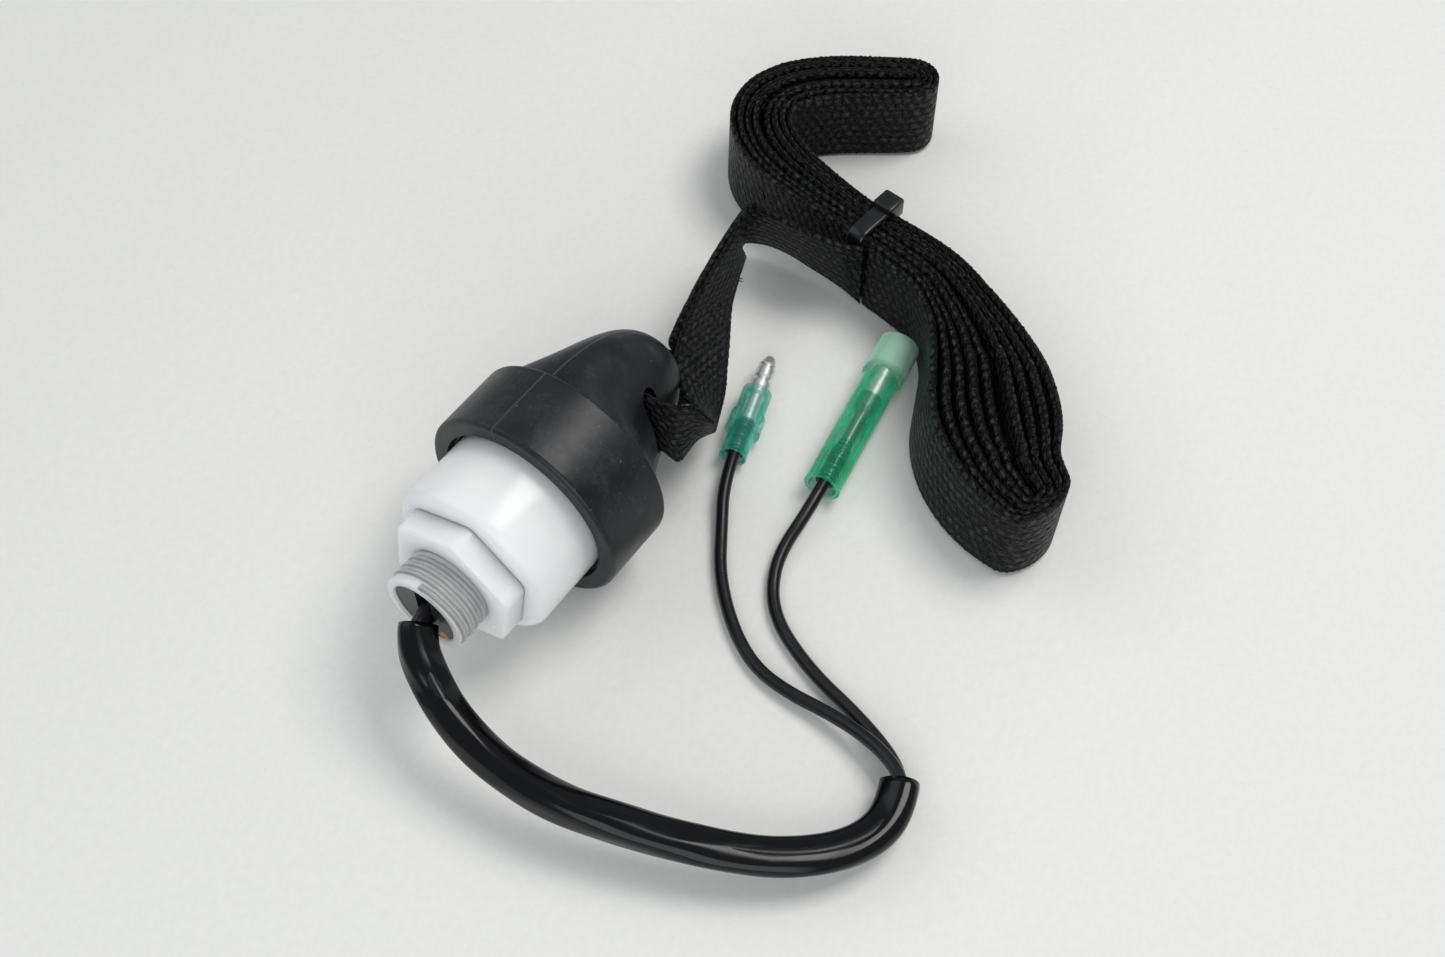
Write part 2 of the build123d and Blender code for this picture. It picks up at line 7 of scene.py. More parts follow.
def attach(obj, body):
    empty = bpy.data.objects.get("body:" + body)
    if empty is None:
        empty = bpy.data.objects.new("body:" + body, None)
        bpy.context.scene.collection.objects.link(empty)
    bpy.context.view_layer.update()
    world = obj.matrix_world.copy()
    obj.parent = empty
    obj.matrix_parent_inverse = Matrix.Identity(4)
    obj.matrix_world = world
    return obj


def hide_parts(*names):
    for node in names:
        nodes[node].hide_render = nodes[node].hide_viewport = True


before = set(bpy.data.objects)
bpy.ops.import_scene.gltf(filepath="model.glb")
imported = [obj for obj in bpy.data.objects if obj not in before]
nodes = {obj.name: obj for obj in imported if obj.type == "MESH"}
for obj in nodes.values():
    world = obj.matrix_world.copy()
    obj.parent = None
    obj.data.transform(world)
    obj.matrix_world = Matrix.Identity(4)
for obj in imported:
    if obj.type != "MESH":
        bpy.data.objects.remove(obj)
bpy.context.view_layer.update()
scene = bpy.context.scene
scene.view_settings.view_transform = "Standard"

# The camera looks down on the switch from its cable side. Lengths are written in millimetres, with places
# along X counted from the cap's open rim, and place() turns such a point into metres in the frame.
MM = 0.001
RIM_TO_ORIGIN = 7.302
CAMERA_PLACE = (-115.1, -121.7, 262.1)
CAMERA_TARGET = (34.8, -15.95, 0.0)
CAMERA_LENS = 44.3


def place(x, y, z):
    return Vector((x - RIM_TO_ORIGIN, y, z)) * MM


camera_data = bpy.data.cameras.new("camera")
camera_data.lens = CAMERA_LENS
camera_data.sensor_width = 36.0
camera_data.clip_start = 0.01
camera = bpy.data.objects.new("camera", camera_data)
scene.collection.objects.link(camera)
camera.location = place(*CAMERA_PLACE)
look = place(*CAMERA_TARGET) - camera.location
camera.rotation_euler = look.to_track_quat("-Z", "Y").to_euler()
scene.camera = camera

# Pale matt table under a broad soft light almost overhead, with an even room round it, a weaker lamp
# behind the switch that rims the black parts, and a fill on the camera's side.
FLOOR_COLOUR = (0.82, 0.815, 0.79, 1.0)
FLOOR_SHADE = 0.95
TABLE_REACH = 4.0
SKY_COLOUR = (0.92, 0.96, 1.0, 1.0)
SKY_STRENGTH = 0.35
LAMPS = (("window", (295, -172, 575), 300, 2.1, (1.0, 0.99, 0.965)),
         ("back", (-60, 430, 420), 520, 0.7, (0.96, 0.98, 1.0)),
         ("fill", (-400, -270, 280), 460, 1.35, (0.95, 0.975, 1.0)))


def node(tree, kind, inputs=None, **settings):
    """A new shader node. An input takes a plain value, or a link from a socket."""
    made = tree.nodes.new(kind)
    for key, value in settings.items():
        setattr(made, key, value)
    for key, value in (inputs or {}).items():
        if isinstance(value, bpy.types.NodeSocket):
            tree.links.new(value, made.inputs[key])
        else:
            made.inputs[key].default_value = value
    return made


def finish(name, inputs):
    """A new material, its shader and its tree."""
    material = bpy.data.materials.new(name)
    material.use_nodes = True
    shader = material.node_tree.nodes["Principled BSDF"]
    for key, value in inputs.items():
        shader.inputs[key].default_value = value
    return material, shader, material.node_tree


def shader_group(name, inputs, outputs):
    """A new shader node group with its input and output nodes."""
    tree = bpy.data.node_groups.new(name, "ShaderNodeTree")
    for label, kind, value in inputs:
        tree.interface.new_socket(label, in_out="INPUT", socket_type=kind).default_value = value
    for label, kind in outputs:
        tree.interface.new_socket(label, in_out="OUTPUT", socket_type=kind)
    return tree, tree.nodes.new("NodeGroupInput"), tree.nodes.new("NodeGroupOutput")


def maths(tree, operation, first, second=0.0):
    return node(tree, "ShaderNodeMath", {0: first, 1: second}, operation=operation).outputs[0]


def vector_maths(tree, operation, first, second):
    """The outputs of a vector operation. The result is under Vector or under Value."""
    return node(tree, "ShaderNodeVectorMath", {0: first, 1: second}, operation=operation).outputs


def mapped(tree, value, low, high, to_low=0.0, to_high=1.0):
    inputs = {"Value": value, "From Min": low, "From Max": high, "To Min": to_low, "To Max": to_high}
    return node(tree, "ShaderNodeMapRange", inputs).outputs[0]


def noise(tree, vector, scale, detail=3.0, roughness=0.5):
    inputs = {"Vector": vector, "Scale": scale, "Detail": detail, "Roughness": roughness}
    return node(tree, "ShaderNodeTexNoise", inputs).outputs["Fac"]


def mixed(tree, factor, first, second):
    """A colour between two colours."""
    made = node(tree, "ShaderNodeMix", data_type="RGBA")
    sockets = [made.inputs[0], made.inputs[6], made.inputs[7]]
    for socket, value in zip(sockets, (factor, first, second)):
        if isinstance(value, bpy.types.NodeSocket):
            tree.links.new(value, socket)
        else:
            socket.default_value = value
    return made.outputs[2]


def bump(tree, shader, height, strength, distance):
    made = node(tree, "ShaderNodeBump", {"Height": height, "Strength": strength, "Distance": distance})
    tree.links.new(made.outputs[0], shader.inputs["Normal"])


table_finish, shader, tree = finish("table", {"Base Color": FLOOR_COLOUR, "Roughness": 0.85})
spot = node(tree, "ShaderNodeTexCoord").outputs["Object"]
grain = mapped(tree, noise(tree, spot, 700.0, 3.0, 0.7), 0.3, 0.7)
shade = [value * FLOOR_SHADE for value in FLOOR_COLOUR[:3]] + [1.0]
tree.links.new(mixed(tree, grain, tuple(shade), FLOOR_COLOUR), shader.inputs["Base Color"])
table_mesh = bpy.data.meshes.new("table")
shape = bmesh.new()
bmesh.ops.create_grid(shape, x_segments=1, y_segments=1, size=TABLE_REACH)
shape.to_mesh(table_mesh)
shape.free()
table = bpy.data.objects.new("table", table_mesh)
table_mesh.materials.append(table_finish)
scene.collection.objects.link(table)
world = bpy.data.worlds.new("sky")
scene.world = world
world.use_nodes = True
background = world.node_tree.nodes["Background"]
background.inputs["Color"].default_value = SKY_COLOUR
background.inputs["Strength"].default_value = SKY_STRENGTH
for name, where, size, power, colour in LAMPS:
    lamp_data = bpy.data.lights.new(name, "AREA")
    lamp_data.shape = "SQUARE"
    lamp_data.size = size * MM
    lamp_data.energy = power
    lamp_data.color = colour
    lamp = bpy.data.objects.new(name, lamp_data)
    lamp.location = place(*where)
    lamp.rotation_euler = (place(*CAMERA_TARGET) - lamp.location).to_track_quat("-Z", "Y").to_euler()
    scene.collection.objects.link(lamp)

# Two wires run from the switch's solder tabs, out of the shank and through the loose sleeve, to their bullet
# connectors. Each is stranded copper in thin satin black insulation, and keeps the bends of its packing.
AXIS_HEIGHT = 19.0
SHANK_END = -24.8
WIRE_INNER_END = -12.65
WIRE_DIAMETER = 2.3
WIRE_PITCH = 2.7
WIRE_STRAIGHT = 0.3
SLEEVE_ROUTE = [
    (-26.7, -0.2, 18.5), (-29.2, -1.7, 17.6), (-31.6, -5.9, 15.6), (-34.2, -12.3, 13.0),
    (-35.6, -20.0, 11.2), (-35.7, -28.0, 10.0), (-34.6, -35.8, 9.2), (-32.1, -43.8, 8.4),
    (-29.2, -52.0, 7.6), (-25.8, -59.7, 6.8), (-21.4, -67.0, 6.0), (-15.8, -72.9, 5.2),
    (-9.6, -76.3, 4.7), (-3.8, -76.5, 4.6), (0.4, -74.8, 4.6)]
PIN_WIRE_ROUTE = [
    (3.0, -70.6, 4.8), (4.6, -64.6, 3.8), (5.1, -57.4, 2.6), (4.8, -50.6, 1.9), (5.5, -44.0, 1.5),
    (8.2, -38.2, 1.3), (12.6, -32.4, 1.3), (18.0, -27.2, 1.4), (24.6, -22.9, 1.8)]
SOCKET_WIRE_ROUTE = [
    (3.5, -72.0, 3.0), (6.1, -66.4, 2.5), (8.3, -60.0, 1.8), (9.9, -53.4, 1.4), (12.4, -46.6, 1.3),
    (15.4, -41.0, 1.3), (19.8, -36.8, 1.3), (26.6, -33.8, 1.8)]
PIN_START, PIN_AIM, PIN_HEIGHT = (37.8, -16.0), (60.0, -9.0), 3.3
SOCKET_START, SOCKET_AIM, SOCKET_HEIGHT = (41.2, -32.9), (75.8, -27.3), 3.95
WIRE_LEAD_IN = 5.0
WIRE_GRIP_END = 5.2
PIN_WIRE_LENGTH = 0.194
SOCKET_WIRE_LENGTH = 0.184


def along_connector(start, aim, height, distance):
    """A point on a connector's axis, that far from the end where its wire goes in."""
    way = (Vector(aim) - Vector(start)).normalized()
    return (start[0] + way.x * distance, start[1] + way.y * distance, height)


def smooth_curve(name, points, resolution=12):
    """An open NURBS curve that has these points as its control points."""
    curve = bpy.data.curves.new(name, "CURVE")
    curve.dimensions = "3D"
    curve.resolution_u = resolution
    spline = curve.splines.new("NURBS")
    spline.points.add(len(points) - 1)
    for control, point in zip(spline.points, points):
        control.co = (*place(*point), 1.0)
    spline.order_u = 3
    spline.use_endpoint_u = True
    return bpy.data.objects.new(name, curve)


def route_points(points, resolution):
    """Points in metres along the smooth curve through a route."""
    helper = smooth_curve("route", points, resolution)
    mesh = bpy.data.meshes.new_from_object(helper)
    found = [vertex.co.copy() for vertex in mesh.vertices]
    bpy.data.objects.remove(helper)
    bpy.data.meshes.remove(mesh)
    return found


def show(piece, body, material):
    """Puts a new piece in the scene, on its body, with its finish."""
    scene.collection.objects.link(piece)
    piece.data.materials.append(material)
    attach(piece, body)


wire_finish, shader, tree = finish("wire insulation", {
    "Base Color": (0.006, 0.006, 0.007, 1.0), "Roughness": 0.3, "Specular IOR Level": 0.35})
spot = node(tree, "ShaderNodeTexCoord").outputs["Object"]
tree.links.new(mapped(tree, noise(tree, spot, 260.0), 0.35, 0.7, 0.26, 0.42), shader.inputs["Roughness"])
bump(tree, shader, noise(tree, spot, 420.0), 0.25, 0.0002)
for name, side, free_route, connector, length, pieces in (
        ("wire_pin_side", 1, PIN_WIRE_ROUTE, (PIN_START, PIN_AIM, PIN_HEIGHT), PIN_WIRE_LENGTH, "pin"),
        ("wire_socket_side", -1, SOCKET_WIRE_ROUTE, (SOCKET_START, SOCKET_AIM, SOCKET_HEIGHT),
         SOCKET_WIRE_LENGTH, "socket")):
    rise = side * WIRE_PITCH / 2
    route = [(WIRE_INNER_END, 0, AXIS_HEIGHT + rise), (SHANK_END - WIRE_STRAIGHT, 0, AXIS_HEIGHT + rise)]
    route += [(x, y, z + rise) for x, y, z in SLEEVE_ROUTE[1:]] + free_route
    route += [along_connector(*connector, distance) for distance in (-WIRE_LEAD_IN, WIRE_GRIP_END)]
    wire = smooth_curve(name, route)
    wire.data.bevel_depth = WIRE_DIAMETER / 2 * MM
    wire.data.bevel_resolution = 5
    wire.data.use_fill_caps = True
    show(wire, "base", wire_finish)
    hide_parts("wire_to_" + pieces)

# The wires' sleeve is a length of thin glossy black vinyl tube, cut off square at both ends. It has gone
# flat from lying in a bag, with soft creases along its sides and a kink near the switch.
SLEEVE_WALL = 0.4
SLEEVE_WIDE = 3.25
SLEEVE_FLAT = 2.75
SLEEVE_FLAT_CHANGE = 0.35
SLEEVE_AROUND = 48
RIDGE_TURN = 60
RIDGE_SWAY = 22
RIDGE_HEIGHT = 0.085
RIPPLE_HEIGHT = 0.012
KINK_PLACE = 0.11
KINK_LENGTH = 0.022
KINK_DEPTH = 0.2


def grid_tube(rows, around):
    """A grid of faces that will be wrapped into a tube, with each vertex's row and place round it."""
    shape = bmesh.new()
    bmesh.ops.create_grid(shape, x_segments=rows - 1, y_segments=around, size=1.0)
    spots = {}
    for vertex in shape.verts:
        spots[vertex] = (round((vertex.co.x + 1) / 2 * (rows - 1)), round((vertex.co.y + 1) / 2 * around))
    return shape, spots


def mesh_piece(name, shape):
    """A new object from a bmesh, its faces pointing outwards."""
    mesh = bpy.data.meshes.new(name)
    bmesh.ops.recalc_face_normals(shape, faces=shape.faces)
    shape.to_mesh(mesh)
    shape.free()
    for polygon in mesh.polygons:
        polygon.use_smooth = True
    return bpy.data.objects.new(name, mesh)


def distances(points):
    """How far along the line each of its points lies, in metres."""
    along = [0.0]
    for before, here in zip(points, points[1:]):
        along.append(along[-1] + (here - before).length)
    return along


sleeve_line = route_points(SLEEVE_ROUTE, 8)
sleeve_along = distances(sleeve_line)
shape, spots = grid_tube(len(sleeve_line), SLEEVE_AROUND)
for vertex, (row, step) in spots.items():
    ahead = sleeve_line[min(row + 1, len(sleeve_line) - 1)] - sleeve_line[max(row - 1, 0)]
    side = ahead.cross(Vector((0, 0, 1))).normalized()
    up = side.cross(ahead).normalized()
    turn = 2 * math.pi * step / SLEEVE_AROUND
    share = sleeve_along[row] / sleeve_along[-1]
    flat = SLEEVE_FLAT - SLEEVE_FLAT_CHANGE * math.sin(9.0 * share + 0.6)
    ridge_turn = math.radians(RIDGE_TURN + RIDGE_SWAY * math.sin(6.0 * share + 0.5))
    ridge = RIDGE_HEIGHT * math.cos(3 * (turn - ridge_turn))
    kink = KINK_DEPTH * math.exp(-((share - KINK_PLACE) / KINK_LENGTH) ** 2) * max(0.0, math.sin(turn))
    radius = 1 + ridge - kink + RIPPLE_HEIGHT * math.sin(5 * turn - 40.0 * share)
    vertex.co = (sleeve_line[row] + side * (math.cos(turn) * SLEEVE_WIDE * radius * MM)
                 + up * (math.sin(turn) * flat * radius * MM))
bmesh.ops.remove_doubles(shape, verts=shape.verts, dist=0.00001)
sleeve = mesh_piece("cable_tube", shape)
wall = sleeve.modifiers.new("wall", "SOLIDIFY")
wall.thickness = SLEEVE_WALL * MM
wall.offset = -1.0
sleeve_finish, shader, tree = finish("glossy vinyl", {
    "Base Color": (0.002, 0.002, 0.0025, 1.0), "Roughness": 0.13, "Specular IOR Level": 0.3})
spot = node(tree, "ShaderNodeTexCoord").outputs["Object"]
tree.links.new(mapped(tree, noise(tree, spot, 120.0), 0.35, 0.75, 0.1, 0.22), shader.inputs["Roughness"])
bump(tree, shader, noise(tree, spot, 70.0, 2.0), 0.25, 0.0006)
show(sleeve, "base", sleeve_finish)
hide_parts("cable_sleeve")

# The switch body is one milky nylon moulding: a threaded shank for the cable and the panel nut, a hexagonal
# flange with soft corners, and the round drum that holds the plunger and its contacts.
HEX_BACK = -18.1
DRUM_BACK = -13.6
DRUM_FRONT = 8.9
HEX_ACROSS_FLATS = 22.3
HEX_CORNER_RADIUS = 2.0
HEX_EDGE_RADIUS = 0.45
HEX_SUNK = 0.3
HEX_TURN = -20.0
HEX_ROOT_RADIUS = 9.2
DRUM_RADIUS = 15.0
DRUM_SHOULDER = 2.0
DRUM_LIP_RADIUS = 0.4
COVER_SEAT, COVER_SEAT_RADIUS = 6.9, 13.6
LEDGE, CAVITY_RADIUS = -4.6, 12.4
CHAMBER_BACK, CHAMBER_RADIUS = -12.6, 9.0
SHANK_ROOT = 7.25
SHANK_LIP_RADIUS = 0.3
SHANK_BORE_RADIUS = 6.15
THREAD_CREST = 7.8
THREAD_PITCH = 1.55
THREAD_TURNS = 3.7
THREAD_SHOULDER = THREAD_CREST - 0.12
THREAD_FOOT = SHANK_ROOT + 0.1
THREAD_PROFILE = [(0.12, THREAD_FOOT), (0.42, THREAD_SHOULDER), (0.58, THREAD_CREST),
                  (0.86, THREAD_CREST), (1.02, THREAD_SHOULDER), (1.32, THREAD_FOOT)]
TURN_STEPS = 96
X_AXIS = Vector((1, 0, 0))
CENTRE = place(0, 0, AXIS_HEIGHT)


def revolved(shape, profile):
    """Spins a closed profile of places along the axis and radii round the switch's axis."""
    verts = [shape.verts.new(place(x, 0, AXIS_HEIGHT + radius)) for x, radius in profile]
    edges = [shape.edges.new(pair) for pair in zip(verts, verts[1:] + verts[:1])]
    bmesh.ops.spin(shape, geom=verts + edges, cent=CENTRE, axis=X_AXIS, dvec=(0, 0, 0), angle=2 * math.pi,
                   steps=TURN_STEPS, use_merge=True, use_duplicate=False)


def arc(x, radius, size, start, end, steps=6):
    """Points of an arc in a profile, its angles in degrees from the axis."""
    angles = [math.radians(start + (end - start) * step / steps) for step in range(steps + 1)]
    return [(x + size * math.cos(angle), radius + size * math.sin(angle)) for angle in angles]


shape = bmesh.new()
outline = [(SHANK_END, SHANK_BORE_RADIUS)]
outline += arc(SHANK_END + SHANK_LIP_RADIUS, SHANK_ROOT, SHANK_LIP_RADIUS, 180, 90, 3)
outline += [(HEX_BACK + 0.5, SHANK_ROOT + SHANK_LIP_RADIUS), (DRUM_BACK, HEX_ROOT_RADIUS)]
outline += arc(DRUM_BACK + DRUM_SHOULDER, DRUM_RADIUS - DRUM_SHOULDER, DRUM_SHOULDER, 180, 90)
outline += arc(DRUM_FRONT - DRUM_LIP_RADIUS, DRUM_RADIUS - DRUM_LIP_RADIUS, DRUM_LIP_RADIUS, 90, 0, 3)
outline += [(DRUM_FRONT, COVER_SEAT_RADIUS), (COVER_SEAT, COVER_SEAT_RADIUS), (COVER_SEAT, CAVITY_RADIUS),
            (LEDGE, CAVITY_RADIUS), (LEDGE, CHAMBER_RADIUS), (CHAMBER_BACK, CHAMBER_RADIUS),
            (CHAMBER_BACK, SHANK_BORE_RADIUS)]
revolved(shape, outline)
verts = [shape.verts.new(place(SHANK_END + x, 0, AXIS_HEIGHT + radius)) for x, radius in THREAD_PROFILE]
face = shape.faces.new(verts)
thread_steps = round(THREAD_TURNS * TURN_STEPS)
bmesh.ops.spin(shape, geom=[face], cent=CENTRE, axis=X_AXIS, dvec=(THREAD_PITCH / TURN_STEPS * MM, 0, 0),
               angle=2 * math.pi * THREAD_TURNS, steps=thread_steps, use_merge=False, use_duplicate=False)
hex_reach = HEX_ACROSS_FLATS / math.sqrt(3) * MM
corners = bmesh.ops.create_circle(shape, segments=6, radius=hex_reach, cap_ends=True)["verts"]
turn = Matrix.Rotation(math.radians(90), 4, "Y") @ Matrix.Rotation(math.radians(HEX_TURN), 4, "Z")
hex_place = Matrix.Translation(place(HEX_BACK, 0, AXIS_HEIGHT)) @ turn
bmesh.ops.transform(shape, matrix=hex_place, verts=corners)
corner_cut = HEX_CORNER_RADIUS * math.tan(math.radians(30)) * MM
bmesh.ops.bevel(shape, geom=corners, offset=corner_cut, offset_type="OFFSET", affect="VERTICES", segments=6,
                profile=0.5, material=-1)
hex_face = max((face for face in shape.faces if len(face.verts) > 12), key=lambda face: len(face.verts))
back_edges = list(hex_face.edges)
extruded = bmesh.ops.extrude_face_region(shape, geom=[hex_face], use_keep_orig=True)
moved = [item for item in extruded["geom"] if isinstance(item, bmesh.types.BMVert)]
bmesh.ops.translate(shape, vec=X_AXIS * (DRUM_BACK - HEX_BACK + HEX_SUNK) * MM, verts=moved)
bmesh.ops.bevel(shape, geom=back_edges, offset=HEX_EDGE_RADIUS * MM, offset_type="OFFSET", affect="EDGES",
                segments=3, profile=0.5, material=-1)
body = mesh_piece("switch_moulding", shape)
edge_softener = body.modifiers.new("sharp_edges", "EDGE_SPLIT")
edge_softener.split_angle = math.radians(38)

clouds, given, made = shader_group(
    "cloudy", [("Vector", "NodeSocketVector", (0, 0, 0)), ("Scale", "NodeSocketFloat", 60.0),
               ("Dark", "NodeSocketColor", (0, 0, 0, 1)), ("Light", "NodeSocketColor", (1, 1, 1, 1))],
    [("Color", "NodeSocketColor"), ("Mask", "NodeSocketFloat")])
mask = mapped(clouds, noise(clouds, given.outputs["Vector"], given.outputs["Scale"], 5.0, 0.6), 0.36, 0.68)
clouds.links.new(mask, made.inputs["Mask"])
clouds.links.new(mixed(clouds, mask, given.outputs["Dark"], given.outputs["Light"]), made.inputs["Color"])


def cloudy(tree, vector, scale, dark, light):
    """The cloudy colour group, placed in a material."""
    inputs = {"Vector": vector, "Scale": scale, "Dark": dark, "Light": light}
    return node(tree, "ShaderNodeGroup", inputs, node_tree=clouds)


nylon_finish, shader, tree = finish("milky nylon", {
    "Base Color": (0.86, 0.86, 0.85, 1.0), "Roughness": 0.2, "Specular IOR Level": 0.35,
    "Subsurface Weight": 0.75, "Subsurface Scale": 0.008, "Subsurface Radius": (1.0, 1.0, 1.0)})
spot = node(tree, "ShaderNodeTexCoord").outputs["Object"]
cloud = cloudy(tree, spot, 55.0, (0.84, 0.85, 0.86, 1.0), (0.89, 0.885, 0.865, 1.0))
tree.links.new(cloud.outputs["Color"], shader.inputs["Base Color"])
stretched = node(tree, "ShaderNodeMapping", {"Vector": spot, "Scale": (25.0, 700.0, 700.0)}).outputs[0]
streaks = mapped(tree, noise(tree, stretched, 1.0, 2.0), 0.62, 0.78)
tree.links.new(mapped(tree, streaks, 0.0, 1.0, 0.2, 0.34), shader.inputs["Roughness"])
bump(tree, shader, streaks, 0.06, 0.0001)
show(body, "base", nylon_finish)
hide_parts("switch_body")

# The front cover and the plunger are plain nylon mouldings, which show when the cap is off. The spring, the
# clip and the contact parts behind them stay closed in, so they keep their plain shapes and get a finish.


def dress(name, material):
    """Gives its finish to a piece that keeps its CAD shape."""
    nodes[name].data.materials.clear()
    nodes[name].data.materials.append(material)


steel_finish, shader, tree = finish("bright metal", {
    "Base Color": (0.66, 0.65, 0.62, 1.0), "Metallic": 1.0, "Roughness": 0.28})
spot = node(tree, "ShaderNodeTexCoord").outputs["Object"]
cloud = cloudy(tree, spot, 500.0, (0.52, 0.51, 0.49, 1.0), (0.76, 0.75, 0.73, 1.0))
tree.links.new(cloud.outputs["Color"], shader.inputs["Base Color"])
tree.links.new(mapped(tree, cloud.outputs["Mask"], 0.0, 1.0, 0.22, 0.4), shader.inputs["Roughness"])
copper_finish, shader, tree = finish("copper", {"Metallic": 1.0, "Roughness": 0.3})
spot = node(tree, "ShaderNodeTexCoord").outputs["Object"]
cloud = cloudy(tree, spot, 400.0, (0.55, 0.27, 0.15, 1.0), (0.85, 0.48, 0.3, 1.0))
tree.links.new(cloud.outputs["Color"], shader.inputs["Base Color"])
board_finish, shader, tree = finish("moulded board", {"Roughness": 0.55})
spot = node(tree, "ShaderNodeTexCoord").outputs["Object"]
cloud = cloudy(tree, spot, 700.0, (0.2, 0.12, 0.07, 1.0), (0.34, 0.23, 0.14, 1.0))
tree.links.new(cloud.outputs["Color"], shader.inputs["Base Color"])
for name in ("front_cover", "plunger"):
    dress(name, nylon_finish)
for name in ("plunger_spring", "plunger_clip", "terminal_upper", "terminal_lower"):
    dress(name, steel_finish)
dress("bridge_contact", copper_finish)
dress("contact_carrier", board_finish)

# A dark plug closes the shank round the two wires. It sits just inside the shank's end, and a drop of amber
# glue shows on its lower edge.
GLUE_PLACE = (-24.4, -3.2, 14.2)
GLUE_REACH = 1.1
GLUE_EDGE = 0.2
plug_finish, shader, tree = finish("potted plug", {"Roughness": 0.3, "Specular IOR Level": 0.4})
spot = node(tree, "ShaderNodeTexCoord").outputs["Object"]
cloud = cloudy(tree, spot, 300.0, (0.012, 0.013, 0.014, 1.0), (0.03, 0.032, 0.034, 1.0))
reach = vector_maths(tree, "DISTANCE", spot, tuple(place(*GLUE_PLACE)))["Value"]
reach = maths(tree, "ADD", reach, mapped(tree, noise(tree, spot, 900.0), 0.3, 0.7, -0.0004, 0.0004))
glue = mapped(tree, reach, GLUE_REACH * MM, (GLUE_REACH + GLUE_EDGE) * MM, 1.0, 0.0)
plug_colour = mixed(tree, glue, cloud.outputs["Color"], (0.55, 0.25, 0.03, 1.0))
tree.links.new(plug_colour, shader.inputs["Base Color"])
bump(tree, shader, noise(tree, spot, 500.0), 0.25, 0.0003)
dress("end_plug", plug_finish)

# The cap is one black rubber moulding, pulled over the drum, with an ear that holds the strap's slot. Its
# skin is matt and dusty, and the mould's parting line runs along it as a fine raised seam.
CAP_PARTING_WAY = (0.0, -0.976, 0.216)
CAP_PARTING_HALF = 0.00022
rubber_finish, shader, tree = finish("dusty rubber", {"Roughness": 0.42, "Specular IOR Level": 0.36})
spot = node(tree, "ShaderNodeTexCoord").outputs["Object"]
cloud = cloudy(tree, spot, 90.0, (0.004, 0.0045, 0.006, 1.0), (0.013, 0.014, 0.017, 1.0))
specks = mapped(tree, noise(tree, spot, 900.0, 3.0, 0.75), 0.66, 0.74, 0.0, 0.9)
smears = mapped(tree, noise(tree, spot, 110.0, 6.0, 0.8), 0.5, 0.74, 0.0, 0.3)
dusty = maths(tree, "MAXIMUM", specks, smears)
offset = vector_maths(tree, "SUBTRACT", spot, tuple(CENTRE))["Vector"]
off_plane = vector_maths(tree, "DOT_PRODUCT", offset, CAP_PARTING_WAY)["Value"]
parting = mapped(tree, maths(tree, "ABSOLUTE", off_plane), 0.0, CAP_PARTING_HALF, 1.0, 0.0)
lighter = maths(tree, "MAXIMUM", dusty, maths(tree, "MULTIPLY", parting, 0.35))
cap_colour = mixed(tree, lighter, cloud.outputs["Color"], (0.11, 0.112, 0.118, 1.0))
tree.links.new(cap_colour, shader.inputs["Base Color"])
tree.links.new(mapped(tree, cloud.outputs["Mask"], 0.0, 1.0, 0.34, 0.46), shader.inputs["Roughness"])
grain = maths(tree, "MULTIPLY", noise(tree, spot, 1100.0, 4.0, 0.65), 0.3)
bump(tree, shader, maths(tree, "ADD", grain, parting), 0.5, 0.0002)
dress("pull_cap", rubber_finish)

# Each wire ends in a tinned bullet connector, crimped on, under an insulator of clear green vinyl that lets
# the metal show through. The socket's insulator ends in a paler, thicker collar.
PALE_GREENS = ((0.01, 0.42, 0.27, 1.0), (0.08, 0.68, 0.5, 1.0))
DEEP_GREENS = ((0.0, 0.42, 0.17, 1.0), (0.02, 0.72, 0.38, 1.0))
COLLAR_GREEN = (0.5, 0.86, 0.66, 1.0)
COLLAR_EDGE = 1.5
SOCKET_COLLAR_START = 27.0
NO_COLLAR = 90.0
PIN_CLEARNESS = 0.14
SOCKET_CLEARNESS = 0.16
# The crimps, and the metal short of the pin's head and the socket's barrel, are painted with shade.
CRIMP_PITCH = 1.1
PIN_CRIMP = (1.0, 7.6)
PIN_HEAD_START = 8.0
SOCKET_CRIMP = (1.0, 10.2)
SOCKET_BARREL_START = 21.5


def along_axis(tree, start, aim):
    """How far along a connector's axis a point of its material lies, in millimetres."""
    spot = node(tree, "ShaderNodeTexCoord").outputs["Object"]
    way = (Vector(aim) - Vector(start)).normalized()
    offset = vector_maths(tree, "SUBTRACT", spot, tuple(place(*start, 0.0)))["Vector"]
    along = vector_maths(tree, "DOT_PRODUCT", offset, (way.x, way.y, 0.0))["Value"]
    return maths(tree, "MULTIPLY", along, 1 / MM)


def vinyl(name, start, aim, greens, collar_start, clearness):
    """Clear green vinyl, denser where its wall is seen along its side and in the collar."""
    made, shader, tree = finish(name, {"Roughness": 0.1})
    spot = node(tree, "ShaderNodeTexCoord").outputs["Object"]
    cloud = cloudy(tree, spot, 260.0, *greens)
    collar = mapped(tree, along_axis(tree, start, aim), collar_start, collar_start + COLLAR_EDGE)
    pale = mixed(tree, collar, cloud.outputs["Color"], COLLAR_GREEN)
    tree.links.new(pale, shader.inputs["Base Color"])
    facing = node(tree, "ShaderNodeLayerWeight", {"Blend": 0.5}).outputs["Facing"]
    wall = mapped(tree, facing, 0.25, 0.8, clearness, 1.0)
    wall = maths(tree, "MAXIMUM", wall, maths(tree, "MULTIPLY", collar, 0.4))
    tree.links.new(wall, shader.inputs["Alpha"])
    bump(tree, shader, noise(tree, spot, 250.0), 0.15, 0.0004)
    return made


